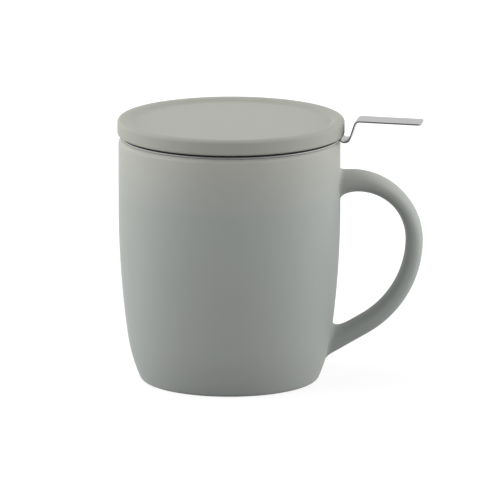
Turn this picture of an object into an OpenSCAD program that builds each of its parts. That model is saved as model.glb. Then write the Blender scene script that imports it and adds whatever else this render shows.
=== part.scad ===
// Tea mug with a lift-out steel infuser and a loose lid.
// Millimetres. The origin is the centre of the foot ring, on the surface that the mug stands on.
// +Z is up and +X points at the handle.

/* [Mug] */
// Height of the mug from its foot to its rim
mug_h = 95.4; // [88:0.2:110]
// Outside diameter of the mug at its rim
mug_d = 86; // [82:0.5:92]
// Thickness of the wall
wall_t = 4; // [3.2:0.1:4.6]
// Thickness of the floor above the recess in the foot
floor_t = 5; // [4:0.1:6]
// Height of the straight band below the rim
straight_h = 27.4; // [20:0.2:34]
// Radius of the slow curve of the side
side_r = 370; // [300:5:450]
// Height at which the side turns into the belly curve
turn_z = 17.8; // [15:0.2:21]
// Radius of the belly curve above the foot
belly_r = 63; // [56:0.5:72]
// Radius between the belly curve and the foot
foot_edge_r = 2; // [1:0.1:3]
// Width of the ring that the mug stands on
foot_w = 4; // [3:0.1:6]
// Depth of the recess inside the foot ring
foot_recess = 1.2; // [0.8:0.1:2]
// Radius between the inside of the wall and the floor
corner_r = 9; // [6:0.5:11]
// Radius of the outer edge of the rim
lip_out_r = 2.3; // [1.2:0.1:2.8]
// Radius of the inner edge of the rim
lip_in_r = 0.8; // [0.5:0.1:1.2]

/* [Handle] */
// Distance from the wall to the middle of the strap where it stands out farthest
handle_out = 28.7; // [26:0.1:32]
// Height of that farthest point above the foot
handle_z = 55; // [52:0.1:57]
// Radius of the upper bend, to the middle of the strap
handle_top_r = 23.3; // [20:0.1:25]
// Radius of the lower sweep, to the middle of the strap
handle_low_r = 38.7; // [35:0.1:41]
// Turn of the lower sweep before it runs straight to the wall
handle_low_angle = 60; // [58:1:66]
// Thickness of the strap where it is thinnest, seen from the side
handle_t = 6.5; // [5:0.1:7.2]
// Thickness of the strap at its upper end
handle_top_t = 8.4; // [6:0.1:9.5]
// Thickness of the strap at its lower end
handle_low_t = 7.4; // [6:0.1:9]
// Angle above the level at which the strap is thinnest
handle_thin_angle = 38; // [10:1:60]
// Width of the strap
handle_w = 13; // [10:0.2:15]
// Squareness of the strap's section, where 2 is an ellipse
handle_power = 2.3; // [2:0.1:4]
// Height of the blend into the wall, on the finger's side
root_in_h = 3.2; // [2:0.1:4.2]
// Height of the blend into the wall, on the outer side and along the edges
root_out_h = 0.8; // [0.5:0.1:2]
// Length of a blend into the wall, as a multiple of its height
root_stretch = 2.1; // [1.4:0.1:2.4]

/* [Infuser flange] */
// Distance from the rim's outer edge in to the edge of the flange
flange_inset = 0.6; // [0.4:0.1:1.4]
// Thickness of the flange's sheet
flange_t = 0.5; // [0.4:0.05:0.7]
// Depth of the collar below the rim
collar_h = 6; // [5:0.2:9]
// Inside radius of the bend from the collar to the flange
flange_bend_r = 0.8; // [0.5:0.1:1.2]

/* [Infuser basket] */
// Gap between the perforated tube and the mug's wall at the rim
basket_gap = 4.5; // [3.8:0.1:8]
// Depth of the basket below the rim
basket_h = 66; // [50:0.5:72]
// Thickness of the perforated sheet
sheet_t = 0.4; // [0.3:0.05:0.6]
// Height of the turned-up edge of the floor pan
pan_h = 3.2; // [2.6:0.1:5]
// Radius of the bend between the pan's floor and its edge
pan_bend_r = 0.8; // [0.5:0.1:1.2]
// Diameter of a hole
hole_d = 1.8; // [1.2:0.1:2.4]
// Distance between neighbouring holes
hole_pitch = 7; // [6:0.1:9]
// Plain band between the holes and the edges of the sheet
plain_w = 2.4; // [1.8:0.1:4]
// Width of the lap of the rolled sheet
seam_w = 5; // [3:0.2:7]
// Diameter of a spot weld
weld_d = 1.8; // [1.2:0.1:2]
// Number of spot welds in a ring
weld_count = 8; // [4:1:16]
// How far a spot weld stands proud of its sheet
weld_proud = 0.12; // [0.08:0.01:0.15]

/* [Infuser tab] */
// Reach of the tab past the rim
tab_out = 31.5; // [26:0.1:40]
// Width of the tab
tab_w = 10.9; // [8:0.1:14]
// Thickness of the tab
tab_t = 0.6; // [0.4:0.05:0.7]
// Rise of the grip above the low stretch of the tab
tab_rise = 8.3; // [6:0.05:12]
// How far the low stretch of the tab lies below the level of the flange
tab_dip = 0.3; // [0:0.05:0.5]
// Distance from the rim to the bend at which the tab rises
tab_bend_out = 3.4; // [3.3:0.05:6]
// Slope of the rising leg
tab_leg_angle = 72; // [55:0.5:80]
// Droop of the grip towards its tip
tab_droop = 1.6; // [0:0.1:4]
// Radius of the bends, to the middle of the strip
tab_bend_r = 2; // [1.2:0.1:2.2]
// Gap between the tab and the underside of the lid
tab_play = 0.25; // [0.2:0.05:0.6]
// Radius of the corners at the tip
tab_corner_r = 1.5; // [0.5:0.1:3]
// Angle from the handle to the tab, clockwise from above
tab_turn = 7.2; // [0:0.2:30]
// How far the infuser and the lid sit off the mug's axis, towards the handle
infuser_slip = 0.6; // [0:0.1:0.8]

/* [Lid] */
// Overhang of the lid past the rim
lid_over = 1; // [0:0.1:3]
// Height of the lid above the flange
lid_h = 7.1; // [6.6:0.1:10]
// Radius of the upper outer edge
lid_top_r = 1.6; // [1:0.1:3]
// Radius of the lower outer edge
lid_low_r = 0.9; // [0.5:0.1:2.2]
// Width of the level crest around the dish
crest_w = 1; // [0.2:0.1:2]
// Depth of the dish in the top
dish_depth = 1.5; // [0.8:0.1:2]
// Radius of the two curves between the crest and the dish
dish_curve_r = 2.8; // [1.6:0.1:4]
// Thickness of the plate under the dish
plate_t = 4.2; // [3.6:0.1:5]
// Height of the locating ring below the flange
ring_h = 6; // [4.4:0.1:8]
// Thickness of the locating ring
ring_t = 3; // [2.2:0.1:4]
// Gap between the locating ring and the basket
ring_play = 0.9; // [0.7:0.05:1.4]
// Width of the seat around the locating ring
seat_w = 5.1; // [4:0.1:5.6]
// Radius of the edges of the locating ring
ring_edge_r = 0.8; // [0.3:0.1:1]

/* [Hidden] */

// Facets of a full turn, of a small hole or weld, and of one drawn bend
$fn = 120;
small_fn = 20;
bend_steps = 8;
// Steps along the long curves of the mug's side
curve_steps = 10;
// Length by which a cutting shape runs past what it cuts
past = 1;

// Radii and heights of the mug
mug_r = mug_d / 2;
side_z = mug_h - straight_h;
side_cx = mug_r - side_r;
turn_angle = asin((side_z - turn_z) / side_r);
belly_cx = side_cx + (side_r - belly_r) * cos(turn_angle);
belly_cz = side_z - (side_r - belly_r) * sin(turn_angle);
foot_angle = asin((belly_cz - foot_edge_r) / (belly_r - foot_edge_r));
foot_r = belly_cx + (belly_r - foot_edge_r) * cos(foot_angle);
foot_in_r = foot_r - foot_w;
floor_z = foot_recess + floor_t;
floor_angle = asin((belly_cz - floor_z - corner_r) / (belly_r - wall_t - corner_r));
corner_x = belly_cx + (belly_r - wall_t - corner_r) * cos(floor_angle);

// Places along the handle
handle_x = mug_r + handle_out;
top_cx = handle_x - handle_top_r;
low_cx = handle_x - handle_low_r;
low_x = low_cx + handle_low_r * cos(handle_low_angle);
low_z = handle_z - handle_low_r * sin(handle_low_angle);
// Depth to which the strap is drawn into the wall before it is trimmed to it
root_depth = 7;
// Rounds in which the lower root is brought to the wall
root_rounds = 5;
// Power with which the strap gets thicker from its thinnest place to its ends
thicken_power = 1.3;
// Steps around a section, along each bend and in front of a root
section_steps = 20;
top_steps = 12;
low_steps = 10;
root_steps = 7;

// Radii and heights of the infuser
basket_r = mug_r - wall_t - basket_gap;
flange_r = mug_r - flange_inset;
basket_z = mug_h - basket_h;
collar_z = mug_h - collar_h;
flange_z = mug_h + flange_t;
wall_top_z = mug_h - flange_bend_r;
wall_in_r = basket_r - sheet_t;
seam_angle = seam_w / basket_r * 180 / PI;
// Angle kept free of holes on either side of the lap's middle
seam_free = (seam_w / 2 + hole_d) / basket_r * 180 / PI;
columns = round(2 * PI * basket_r / hole_pitch);
row_step = hole_pitch * sin(60);
holes_low_z = basket_z + pan_h + plain_w + hole_d / 2;
holes_high_z = collar_z - plain_w - hole_d / 2;
rows = floor((holes_high_z - holes_low_z) / row_step) + 1;
floor_rings = floor((wall_in_r - plain_w - hole_d / 2) / hole_pitch);

// Radii and heights of the lid, from the top of the flange
lid_r = mug_r + lid_over;
lid_relief = tab_t + tab_play;
ring_r = wall_in_r - ring_play;
seat_r = ring_r + seat_w;
dish_z = lid_h - dish_depth;
plate_z = dish_z - plate_t;
dish_angle = acos(1 - dish_depth / (2 * dish_curve_r));
crest_in_r = lid_r - lid_top_r - crest_w;
dish_r = crest_in_r - 2 * dish_curve_r * sin(dish_angle);

tab_in_r = seat_r + lid_relief + tab_play;
tab_reach = mug_r + tab_out;
tab_z = flange_z + tab_t / 2;
tab_low_z = mug_h + tab_t / 2 - tab_dip;
tab_leg_x = mug_r + tab_bend_out;
tab_top_x = tab_leg_x + tab_rise / tan(tab_leg_angle);
// The joggle brings the strip down to its low stretch beyond the rim
joggle_gap = 0.6;
joggle_x = flange_r + joggle_gap;
joggle_w = 1.2;
joggle_r = 0.9;

ceramic = [0.60, 0.61, 0.58];
steel = [0.76, 0.76, 0.77];
weld_tone = [0.62, 0.62, 0.63];

// Points on an arc about [cx, cy], from one angle to another
function arc(cx, cy, r, a0, a1, n = bend_steps) =
    [for (i = [0 : n]) let (a = a0 + (a1 - a0) * i / n) [cx + r * cos(a), cy + r * sin(a)]];

// The outside of the mug from the foot up to the rim
function outside() = concat(
    arc(foot_r, foot_edge_r, foot_edge_r, -90, -foot_angle),
    arc(belly_cx, belly_cz, belly_r, -foot_angle, -turn_angle, curve_steps),
    arc(side_cx, side_z, side_r, -turn_angle, 0, curve_steps),
    arc(mug_r - lip_out_r, mug_h - lip_out_r, lip_out_r, 0, 90));

// The inside of the mug from the rim down to the floor
function inside() = concat(
    arc(mug_r - wall_t + lip_in_r, mug_h - lip_in_r, lip_in_r, 90, 180),
    arc(side_cx, side_z, side_r - wall_t, 0, -turn_angle, curve_steps),
    arc(belly_cx, belly_cz, belly_r - wall_t, -turn_angle, -floor_angle, curve_steps),
    arc(corner_x, floor_z + corner_r, corner_r, -floor_angle, -90));

// Radius of the outside at a height
function outside_r(z) =
    z >= side_z ? mug_r
    : z >= turn_z ? side_cx + sqrt(side_r * side_r - (side_z - z) * (side_z - z))
    : belly_cx + sqrt(belly_r * belly_r - (belly_cz - z) * (belly_cz - z));

module mug_body() {
    color(ceramic)
        rotate_extrude()
            polygon(concat([[0, foot_recess], [foot_in_r - foot_recess, foot_recess], [foot_in_r, 0]],
                           outside(), inside(), [[0, floor_z]]));
}

// Height of the lower stretch of the handle at a radius, and the radius where it meets the wall,
// which settles in a few rounds
function low_line_z(x) = low_z - (low_x - x) / tan(handle_low_angle);
function low_wall_x(x, n) = n < 1 ? x : low_wall_x(outside_r(low_line_z(x)), n - 1);

low_root_x = low_wall_x(mug_r, root_rounds);
low_root_run = (low_x - low_root_x) / sin(handle_low_angle);

// Stretch in front of each root in which the stations lie close together
top_root_run = top_cx - mug_r;
low_near_run = min(root_in_h * root_stretch, low_root_run);

// Height of an elliptic blend at a distance from the wall
function blend(d, h) =
    let (rest = 1 - max(d, 0) / (h * root_stretch))
    rest <= 0 ? 0 : h * (1 - sqrt(1 - rest * rest));

// Thickness of the strap at an angle above the level, which grows towards both ends
function strap_t(a) =
    let (upper = a > handle_thin_angle,
         share = (a - handle_thin_angle) / ((upper ? 90 : -handle_low_angle) - handle_thin_angle))
    handle_t + ((upper ? handle_top_t : handle_low_t) - handle_t) * pow(share, thicken_power);

// Stations along the handle: [x, z, angle of the outward normal]
function top_station(d) = [mug_r + d, handle_z + handle_top_r, 90];
function low_station(d) =
    let (run = low_root_run - d)
    [low_x - run * sin(handle_low_angle), low_z - run * cos(handle_low_angle), -handle_low_angle];

stations = concat(
    [top_station(-root_depth)],
    [for (i = [0 : root_steps - 1]) top_station(top_root_run * (1 - cos(90 * i / root_steps)))],
    [for (p = [0 : top_steps])
        let (a = 90 - 90 * p / top_steps)
        [top_cx + handle_top_r * cos(a), handle_z + handle_top_r * sin(a), a]],
    [for (p = [1 : low_steps])
        let (a = -handle_low_angle * p / low_steps)
        [low_cx + handle_low_r * cos(a), handle_z + handle_low_r * sin(a), a]],
    [for (i = [2 * root_steps - 1 : -1 : -root_steps]) low_station(low_near_run * i / (2 * root_steps))],
    [low_station(-root_depth)]);

function power(v) = sign(v) * pow(abs(v), 2 / handle_power);

// One ring of the strap: a rounded rectangle, fuller where a point of it comes near the wall
function ring(s) =
    [for (k = [0 : section_steps - 1])
        let (a = 360 * k / section_steps,
             u = power(cos(a)) * strap_t(s[2]) / 2,
             d = s[0] + u * cos(s[2]) - outside_r(s[1] + u * sin(s[2])),
             full_u = u + power(cos(a)) * blend(d, cos(a) < 0 ? root_in_h : root_out_h),
             full_v = power(sin(a)) * (handle_w / 2 + blend(d, root_out_h)))
        [s[0] + full_u * cos(s[2]), full_v, s[1] + full_u * sin(s[2])]];

module strap() {
    last = (len(stations) - 1) * section_steps;
    points = [for (s = stations) each ring(s)];
    sides = [for (j = [0 : len(stations) - 2], k = [0 : section_steps - 1])
        let (b = j * section_steps, n = (k + 1) % section_steps)
        [b + k, b + section_steps + k, b + section_steps + n, b + n]];
    near_end = [for (k = [0 : section_steps - 1]) k];
    far_end = [for (k = [section_steps - 1 : -1 : 0]) last + k];
    polyhedron(points, concat(sides, [near_end, far_end]));
}

module mug_handle() {
    color(ceramic)
        difference() {
            strap();
            rotate_extrude() polygon(concat([[0, 0]], outside(), [[0, mug_h]]));
        }
}

// Puts a part of the infuser where the infuser hangs in the mug
module hang() {
    translate([infuser_slip, 0, 0]) rotate([0, 0, -tab_turn]) children();
}

module tube(r, t, z0, z1) {
    translate([0, 0, z0])
        difference() {
            cylinder(r = r, h = z1 - z0);
            translate([0, 0, -past]) cylinder(r = r - t, h = z1 - z0 + 2 * past);
        }
}

module infuser_flange() {
    bend_x = basket_r + flange_t + flange_bend_r;
    bend_z = mug_h - flange_bend_r;
    color(steel)
        hang()
            rotate_extrude()
                polygon(concat(
                    [[basket_r, collar_z], [basket_r + flange_t, collar_z]],
                    arc(bend_x, bend_z, flange_bend_r, 180, 90),
                    [[flange_r, mug_h], [flange_r, flange_z]],
                    arc(bend_x, bend_z, flange_bend_r + flange_t, 90, 180)));
}

// A ring of short pins that point outwards at a height, one for each angle
module radial_pins(angles, z, d, r0, r1) {
    for (a = angles)
        rotate([0, 0, a])
            translate([r0, 0, z])
                rotate([0, 90, 0]) cylinder(d = d, h = r1 - r0, $fn = small_fn);
}

module infuser_wall() {
    color(steel)
        hang() {
            difference() {
                tube(basket_r, sheet_t, basket_z, wall_top_z);
                for (k = [0 : rows - 1])
                    radial_pins([for (i = [0 : columns - 1])
                                    let (a = (i + (k % 2) / 2) * 360 / columns)
                                    if (abs(a - 180) > seam_free) a],
                                holes_low_z + k * row_step, hole_d,
                                basket_r - sheet_t - past, basket_r + past);
            }
            rotate([0, 0, 180 - seam_angle / 2])
                rotate_extrude(angle = seam_angle)
                    translate([wall_in_r - sheet_t, basket_z + pan_h + sheet_t])
                        square([sheet_t, wall_top_z - basket_z - pan_h - sheet_t]);
        }
}

module infuser_floor() {
    bend_x = wall_in_r - pan_bend_r - sheet_t;
    bend_z = basket_z + pan_bend_r + sheet_t;
    color(steel)
        hang() {
            translate([0, 0, basket_z])
                linear_extrude(sheet_t)
                    difference() {
                        circle(r = bend_x);
                        circle(d = hole_d, $fn = small_fn);
                        for (k = [1 : floor_rings], i = [0 : 6 * k - 1])
                            rotate(i * 60 / k)
                                translate([k * hole_pitch, 0]) circle(d = hole_d, $fn = small_fn);
                    }
            rotate_extrude()
                polygon(concat(
                    arc(bend_x, bend_z, pan_bend_r + sheet_t, -90, 0),
                    [[wall_in_r, basket_z + pan_h], [wall_in_r - sheet_t, basket_z + pan_h]],
                    arc(bend_x, bend_z, pan_bend_r, 0, -90)));
        }
}

// The direction of the leg of a bent strip that starts at corner i
function heading(v, i) = atan2(v[i + 1][1] - v[i][1], v[i + 1][0] - v[i][0]);

// One side of a bent strip: its corners are rounded to the radii r, at an offset to the left
function bent(v, r, offset) = concat(
    [v[0] + offset * [-sin(heading(v, 0)), cos(heading(v, 0))]],
    [for (i = [1 : len(v) - 2])
        let (a0 = heading(v, i - 1),
             a1 = heading(v, i),
             left = a1 > a0 ? 1 : -1,
             run = r[i] * tan(abs(a1 - a0) / 2),
             c = v[i] - run * [cos(a0), sin(a0)] + left * r[i] * [-sin(a0), cos(a0)])
        each [for (k = [0 : bend_steps])
            let (a = a0 + (a1 - a0) * k / bend_steps)
            c + (offset - left * r[i]) * [-sin(a), cos(a)]]],
    [v[len(v) - 1] + offset * [-sin(heading(v, len(v) - 2)), cos(heading(v, len(v) - 2))]]);

module infuser_tab() {
    grip = tab_reach - tab_top_x;
    corners = [[tab_in_r, tab_z], [joggle_x, tab_z], [joggle_x + joggle_w, tab_low_z],
               [tab_leg_x, tab_low_z], [tab_top_x, tab_low_z + tab_rise],
               [tab_reach, tab_low_z + tab_rise - grip * tan(tab_droop)]];
    radii = [0, joggle_r, joggle_r, tab_bend_r, tab_bend_r, 0];
    under = bent(corners, radii, -tab_t / 2);
    over = bent(corners, radii, tab_t / 2);
    corner_x = tab_reach - tab_corner_r;
    corner_y = tab_w / 2 - tab_corner_r;
    color(steel)
        hang()
            intersection() {
                rotate([90, 0, 0])
                    linear_extrude(tab_w, center = true)
                        polygon(concat(under, [for (i = [len(over) - 1 : -1 : 0]) over[i]]));
                translate([0, 0, tab_low_z - tab_t / 2 - past])
                    linear_extrude(tab_rise + tab_t + 2 * past) {
                        translate([0, -tab_w / 2]) square([corner_x, tab_w]);
                        translate([0, -corner_y]) square([tab_reach, 2 * corner_y]);
                        for (s = [-1, 1])
                            translate([corner_x, s * corner_y]) circle(r = tab_corner_r);
                    }
            }
}

module tab_welds() {
    weld_x = (tab_in_r + flange_r) / 2;
    color(weld_tone)
        hang()
            for (s = [-1, 1])
                translate([weld_x, s * tab_w / 4, flange_z + tab_t])
                    cylinder(d = weld_d, h = weld_proud, $fn = small_fn);
}

// Angles of a ring of spot welds, which starts half a step away from the lap
function weld_angles() = [for (i = [0 : weld_count - 1]) (i + 0.5) * 360 / weld_count];

module collar_welds() {
    z = (collar_z + wall_top_z) / 2;
    color(weld_tone)
        hang()
            intersection() {
                tube(wall_in_r, weld_proud, z - weld_d, z + weld_d);
                radial_pins(weld_angles(), z, weld_d, wall_in_r - past, wall_in_r + past);
            }
}

module floor_welds() {
    z = basket_z + (pan_bend_r + sheet_t + pan_h) / 2;
    color(weld_tone)
        hang()
            intersection() {
                tube(basket_r + weld_proud, weld_proud, z - weld_d, z + weld_d);
                radial_pins(weld_angles(), z, weld_d, basket_r - past, basket_r + past);
            }
}

module lid() {
    ring_in_r = ring_r - ring_t;
    color(ceramic)
        translate([infuser_slip, 0, flange_z])
            rotate_extrude()
                polygon(concat(
                    [[0, plate_z]],
                    arc(ring_in_r - ring_edge_r, plate_z - ring_edge_r, ring_edge_r, 90, 0),
                    arc(ring_in_r + ring_edge_r, ring_edge_r - ring_h, ring_edge_r, 180, 270),
                    arc(ring_r - ring_edge_r, ring_edge_r - ring_h, ring_edge_r, -90, 0),
                    [[ring_r, 0], [seat_r, 0], [seat_r + lid_relief, lid_relief]],
                    arc(lid_r - lid_low_r, lid_relief + lid_low_r, lid_low_r, -90, 0),
                    arc(lid_r - lid_top_r, lid_h - lid_top_r, lid_top_r, 0, 90),
                    arc(crest_in_r, lid_h - dish_curve_r, dish_curve_r, 90, 90 + dish_angle),
                    arc(dish_r, dish_z + dish_curve_r, dish_curve_r, dish_angle - 90, -90),
                    [[0, dish_z]]));
}

mug_body();
mug_handle();
infuser_flange();
infuser_wall();
infuser_floor();
infuser_tab();
tab_welds();
collar_welds();
floor_welds();
lid();
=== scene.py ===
"""Lidded tea mug with a lift-out infuser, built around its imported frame.

Metres. The origin is the centre of the foot, +Z is up and +X points at the handle.
"""
import math
from types import SimpleNamespace

import bpy
import numpy as np
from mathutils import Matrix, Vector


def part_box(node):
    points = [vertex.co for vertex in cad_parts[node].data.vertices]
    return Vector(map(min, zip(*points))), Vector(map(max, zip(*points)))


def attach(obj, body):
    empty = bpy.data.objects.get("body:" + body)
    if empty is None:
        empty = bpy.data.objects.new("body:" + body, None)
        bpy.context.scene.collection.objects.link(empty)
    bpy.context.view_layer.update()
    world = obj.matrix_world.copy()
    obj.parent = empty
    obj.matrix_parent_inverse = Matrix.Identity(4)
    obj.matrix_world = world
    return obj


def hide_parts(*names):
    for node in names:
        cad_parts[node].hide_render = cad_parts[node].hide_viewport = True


bl_info = {
    "name": "Tea mug with infuser",
    "version": (1, 0, 0),
    "blender": (4, 5, 0),
    "location": "3D View > Sidebar > Tea mug",
    "description": "Glazed mug, dished lid and perforated steel infuser around their packed frame",
    "category": "Add Mesh",
}

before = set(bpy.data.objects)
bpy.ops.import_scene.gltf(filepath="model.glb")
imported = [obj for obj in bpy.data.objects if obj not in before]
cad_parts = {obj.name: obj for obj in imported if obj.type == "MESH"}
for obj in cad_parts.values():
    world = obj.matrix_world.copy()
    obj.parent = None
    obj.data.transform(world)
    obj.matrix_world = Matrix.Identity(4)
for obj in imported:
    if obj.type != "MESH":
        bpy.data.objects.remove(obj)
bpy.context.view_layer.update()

# Heights that the frame gives
RIM_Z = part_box("mug_body")[1].z
FLANGE_TOP_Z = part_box("infuser_flange")[1].z
COLLAR_LOW_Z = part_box("infuser_flange")[0].z
BASKET_LOW_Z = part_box("infuser_floor")[0].z
BASKET_TOP_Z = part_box("infuser_wall")[1].z
PAN_TOP_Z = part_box("infuser_floor")[1].z
LID_LOW_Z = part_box("lid")[0].z
LID_TOP_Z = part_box("lid")[1].z

# Steps around a turned piece, and along a cut edge, a rounded edge, a long curve and a straight
TURN_STEPS = 256
CUT_STEPS = 4
EDGE_STEPS = 10
CURVE_STEPS = 40
STRAIGHT_STEPS = 6

# Steps along the handle's path and along each root, and around its section
PATH_STEPS = 60
ROOT_STEPS = 30
STRAP_STEPS = 72

# Rounds in which the rows of the handle's path and of its roots find their gap to the wall
PATH_ROUNDS = 3
ROOT_ROUNDS = 12

# Steps along a bend of the tab, and points along its run, its rounded tip and each cut edge
TAB_BEND_STEPS = 12
TAB_RUN_POINTS = 40
TAB_TIP_POINTS = 16
TAB_EDGE_POINTS = 4

# Steps up each plain band of the tube, and points across and up the lap of its seam
BAND_STEPS = 5
LAP_POINTS = 9
LAP_ROWS = 12

# Points across the pan's plain band, steps along its bend and up its edge, and the share of the
# pitch that is left between two rings of holes on either side
PAN_BAND_POINTS = 4
PAN_BEND_STEPS = 8
PAN_EDGE_STEPS = 4
PAN_MARGIN = 0.08

# Steps around the stage's floor, and its rings
FLOOR_STEPS = 96
FLOOR_RINGS = 24

# A right angle
RIGHT = math.pi / 2


# ---------------- sizes and colours

def length(name, description, default):
    """A size in metres."""
    return bpy.props.FloatProperty(name=name, description=description, default=default,
                                   min=0.0, precision=5, unit="LENGTH")


def angle(name, description, degrees):
    """An angle, given in degrees."""
    return bpy.props.FloatProperty(name=name, description=description,
                                   default=math.radians(degrees), unit="ROTATION")


def factor(name, description, default, highest=1.0):
    """A plain number from 0 to its highest value."""
    return bpy.props.FloatProperty(name=name, description=description, default=default,
                                   min=0.0, max=highest, subtype="FACTOR")


def watts(name, description, default):
    """The power of a lamp."""
    return bpy.props.FloatProperty(name=name, description=description, default=default,
                                   min=0.0, unit="POWER")


def colour(name, description, default):
    """A linear colour."""
    return bpy.props.FloatVectorProperty(name=name, description=description, default=default,
                                         size=3, min=0.0, max=1.0, subtype="COLOR")


def part(kind, name, description):
    """One group of settings."""
    return bpy.props.PointerProperty(type=kind, name=name, description=description)


class MugSizes(bpy.types.PropertyGroup):
    """The turned body of the mug."""
    rim_radius: length("Rim radius", "Outer radius at the rim", 0.043)
    wall: length("Wall", "Thickness of the wall", 0.004)
    floor: length("Floor", "Thickness of the floor above the foot's recess", 0.005)
    straight: length("Straight band", "Height of the straight band below the rim", 0.0274)
    side_radius: length("Side radius", "Radius of the slow curve of the side", 0.370)
    turn_height: length("Turn height", "Height at which the side turns into the belly", 0.0178)
    belly_radius: length("Belly radius", "Radius of the curve above the foot", 0.063)
    foot_edge: length("Foot edge", "Radius between belly and foot", 0.002)
    foot_width: length("Foot width", "Width of the ring that the mug stands on", 0.004)
    foot_recess: length("Foot recess", "Depth of the recess inside the foot ring", 0.0012)
    foot_inner_edge: length("Foot inner edge", "Radius of the foot ring's inner edge", 0.0005)
    corner: length("Inner corner", "Radius between the wall and the floor inside", 0.009)
    lip_outer: length("Outer lip", "Radius of the rim's outer edge", 0.0023)
    lip_inner: length("Inner lip", "Radius of the rim's inner edge", 0.0008)


class HandleSizes(bpy.types.PropertyGroup):
    """The strap handle."""
    out: length("Reach", "From the wall to the strap's middle where it stands out most", 0.0287)
    height: length("Height", "Height of that point above the foot", 0.055)
    top_radius: length("Top radius", "Radius of the upper bend", 0.0233)
    low_radius: length("Low radius", "Radius of the lower sweep", 0.0387)
    low_angle: angle("Low angle", "Turn of the lower sweep before it runs straight", 60.0)
    thin: length("Thickness", "Thickness of the strap where it is thinnest", 0.0065)
    top_thickness: length("Upper thickness", "Thickness of the strap's upper end", 0.0084)
    low_thickness: length("Lower thickness", "Thickness of the strap's lower end", 0.0074)
    thin_angle: angle("Thin angle", "Angle above the level at which it is thinnest", 38.0)
    thicken: factor("Thickening", "Power with which it gets thicker to its ends", 1.3, 3.0)
    width: length("Width", "Width of the strap", 0.013)
    squareness: factor("Squareness", "Squareness of the section, where 2 is an ellipse", 2.3, 4.0)
    root_inside: length("Inner blend", "Height of the blend on the finger's side", 0.0032)
    root_outside: length("Outer blend", "Height of the blend on the other sides", 0.0008)
    root_stretch: factor("Blend stretch", "Length of a blend over its height", 2.1, 4.0)
    root_depth: length("Root depth", "Depth to which the strap runs into the wall", 0.0012)


class InfuserSizes(bpy.types.PropertyGroup):
    """The steel basket and its flange."""
    slip: length("Slip", "How far infuser and lid sit off the mug's axis", 0.0006)
    turn: angle("Turn", "Angle from the handle to the tab, clockwise from above", 7.2)
    flange_inset: length("Flange inset", "From the mug's rim in to the flange's edge", 0.0006)
    flange_sheet: length("Flange sheet", "Thickness of the flange", 0.0005)
    flange_bend: length("Flange bend", "Inside radius between collar and flange", 0.0008)
    basket_gap: length("Basket gap", "Gap between the basket and the mug's wall", 0.0045)
    sheet: length("Sheet", "Thickness of the perforated sheet", 0.0004)
    pan_bend: length("Pan bend", "Radius between the pan's floor and its edge", 0.0008)
    hole: length("Hole", "Diameter of a hole", 0.0018)
    pitch: length("Pitch", "Distance between neighbouring holes", 0.0035)
    plain: length("Plain band", "Band without holes along the sheet's edges", 0.0024)
    seam: length("Seam", "Width of the lap of the rolled sheet", 0.005)
    edge: length("Sheet edge", "Radius of the broken edges of the sheet", 0.00012)


class TabSizes(bpy.types.PropertyGroup):
    """The bent lifting tab."""
    out: length("Reach", "Reach past the rim", 0.0315)
    width: length("Width", "Width of the strip", 0.0109)
    sheet: length("Sheet", "Thickness of the strip", 0.0006)
    rise: length("Rise", "Rise of the grip above the low stretch", 0.0083)
    dip: length("Dip", "How far the low stretch lies below the flange's level", 0.0003)
    bend_out: length("Bend", "From the rim to the bend at which the tab rises", 0.0034)
    leg_angle: angle("Leg angle", "Slope of the rising leg", 72.0)
    droop: angle("Droop", "Droop of the grip towards its tip", 1.6)
    bend_radius: length("Bend radius", "Radius of the bends", 0.002)
    play: length("Play", "Gap between the tab and the lid", 0.00025)
    tip_corner: length("Tip corner", "Radius of the corners at the tip", 0.0015)
    joggle_gap: length("Joggle gap", "From the flange's edge to the joggle", 0.0006)
    joggle_width: length("Joggle width", "Length of the joggle", 0.0012)
    joggle_radius: length("Joggle radius", "Radius of the joggle's bends", 0.0009)
    edge: length("Cut edge", "Radius of the sheared edges of the strip", 0.00008)


class LidSizes(bpy.types.PropertyGroup):
    """The loose ceramic lid."""
    over: length("Overhang", "Overhang past the mug's rim", 0.001)
    top_edge: length("Top edge", "Radius of the upper outer edge", 0.0016)
    low_edge: length("Low edge", "Radius of the lower outer edge", 0.0009)
    crest: length("Crest", "Width of the level crest around the dish", 0.001)
    dish: length("Dish", "Depth of the dish", 0.0015)
    dish_curve: length("Dish curve", "Radius of the curves between crest and dish", 0.0028)
    plate: length("Plate", "Thickness of the plate", 0.0042)
    ring_wall: length("Ring wall", "Thickness of the locating ring", 0.003)
    ring_play: length("Ring play", "Gap between the locating ring and the basket", 0.0009)
    seat: length("Seat", "Width of the seat around the locating ring", 0.0051)
    ring_edge: length("Ring edge", "Radius of the ring's edges", 0.0008)


class Finishes(bpy.types.PropertyGroup):
    """Colours and surfaces."""
    glaze: colour("Glaze", "Sage grey matte glaze of the lid", (0.410, 0.418, 0.375))
    # Painted light: the rim's paler tone stands in for the stronger light from above on the upper body
    rim_glaze_painted_light: colour("Rim glaze", "Paler glaze of the mug's rim", (0.490, 0.496, 0.458))
    # Partly the real cooler glaze low down, partly painted shade where less light falls lower on the
    # body
    deep_glaze_and_painted_shade: colour("Deep glaze", "Cooler glaze below the rim", (0.412, 0.438, 0.420))
    # Depth over which the rim's painted light gives way to the cooler, darker tone (glaze and painted
    # shade)
    glaze_and_shade_turn: length("Glaze turn", "Depth below the rim at which the glaze is fully cool", 0.024)
    glaze_rough: factor("Glaze roughness", "Roughness of the matte glaze", 0.62)
    clay: colour("Clay", "Bare fired clay of the foot ring", (0.62, 0.56, 0.48))
    steel: colour("Steel", "Satin stainless steel", (0.467, 0.467, 0.473))
    steel_rough: factor("Steel roughness", "Roughness of the satin steel", 0.3)
    weld: colour("Weld", "Heat-dulled spot welds", (0.42, 0.41, 0.40))


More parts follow.
